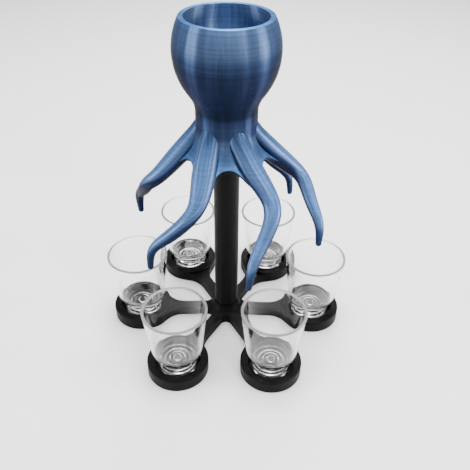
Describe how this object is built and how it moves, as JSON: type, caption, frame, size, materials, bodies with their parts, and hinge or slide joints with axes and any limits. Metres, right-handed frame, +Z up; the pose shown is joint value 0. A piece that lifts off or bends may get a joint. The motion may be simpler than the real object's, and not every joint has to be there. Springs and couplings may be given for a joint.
{
  "type": "party shot dispenser",
  "caption": "Octopus-shaped dispenser: a drink poured in the open head runs down hollow tentacles into shot glasses on a round-cupped base.",
  "frame": {"origin": "on the post's axis, at the underside of the base", "axes": "+Z up along the post, +X towards one of the six glasses, +Y between two glasses"},
  "size_m": [0.192, 0.1726, 0.2506],
  "materials": {
    "silk_blue": "silk, metallic steel blue, fine print layers",
    "satin_black": "satin",
    "clear_glass": "polished"
  },
  "bodies": {
    "base": {"base": "satin_black"},
    "post": {"post": "satin_black"},
    "head": {"reservoir": "silk_blue", "tentacle_1": "silk_blue", "tentacle_2": "silk_blue", "tentacle_3": "silk_blue", "tentacle_4": "silk_blue", "tentacle_5": "silk_blue", "tentacle_6": "silk_blue"},
    "glass_1_body": {"glass_1": "clear_glass"},
    "glass_2_body": {"glass_2": "clear_glass"},
    "glass_3_body": {"glass_3": "clear_glass"},
    "glass_4_body": {"glass_4": "clear_glass"},
    "glass_5_body": {"glass_5": "clear_glass"},
    "glass_6_body": {"glass_6": "clear_glass"}
  },
  "joints": [
    {"name": "post_swivel", "type": "hinge", "parent": "base", "child": "post", "pos_m": [0, 0, 0.003], "axis": [0, 0, 1], "continuous": true},
    {"name": "head_lift", "type": "slide", "parent": "post", "child": "head", "axis": [0, 0, 1], "range_m": [0, 0.03]},
    {"name": "glass_1_lift", "type": "slide", "parent": "base", "child": "glass_1_body", "axis": [0, 0, 1], "range_m": [0, 0.02]},
    {"name": "glass_2_lift", "type": "slide", "parent": "base", "child": "glass_2_body", "axis": [0, 0, 1], "range_m": [0, 0.02]},
    {"name": "glass_3_lift", "type": "slide", "parent": "base", "child": "glass_3_body", "axis": [0, 0, 1], "range_m": [0, 0.02]},
    {"name": "glass_4_lift", "type": "slide", "parent": "base", "child": "glass_4_body", "axis": [0, 0, 1], "range_m": [0, 0.02]},
    {"name": "glass_5_lift", "type": "slide", "parent": "base", "child": "glass_5_body", "axis": [0, 0, 1], "range_m": [0, 0.02]},
    {"name": "glass_6_lift", "type": "slide", "parent": "base", "child": "glass_6_body", "axis": [0, 0, 1], "range_m": [0, 0.02]}
  ]
}
